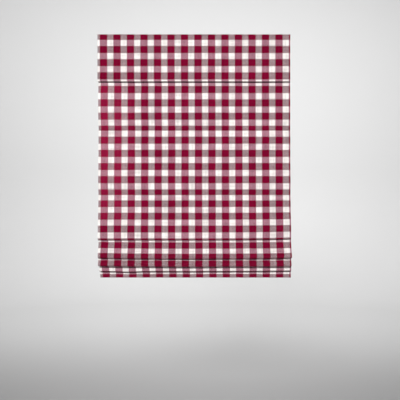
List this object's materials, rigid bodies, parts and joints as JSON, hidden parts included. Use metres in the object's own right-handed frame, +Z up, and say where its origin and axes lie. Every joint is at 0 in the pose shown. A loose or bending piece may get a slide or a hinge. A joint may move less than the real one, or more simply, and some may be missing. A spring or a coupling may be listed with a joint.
{
  "type": "roman shade",
  "caption": "Flat roman shade in burgundy and white gingham, drawn most of the way up: a valance over a flat panel with sewn rib tucks, and hanging folds gathered at the foot.",
  "frame": {"origin": "middle of the top face of the heading, above the plane in which the upper part of the shade hangs", "axes": "+Z up, +X to the right as seen from the room, -Y towards the room"},
  "size_m": [0.7411, 0.0637, 0.9322],
  "materials": {
    "valance_cloth": "matt plain-weave cotton, burgundy and white 25 mm squares",
    "shade_cloth": "matt plain-weave cotton, burgundy and white 25 mm squares"
  },
  "bodies": {
    "root": {"valance": "valance_cloth", "shade": "shade_cloth"}
  },
  "joints": []
}
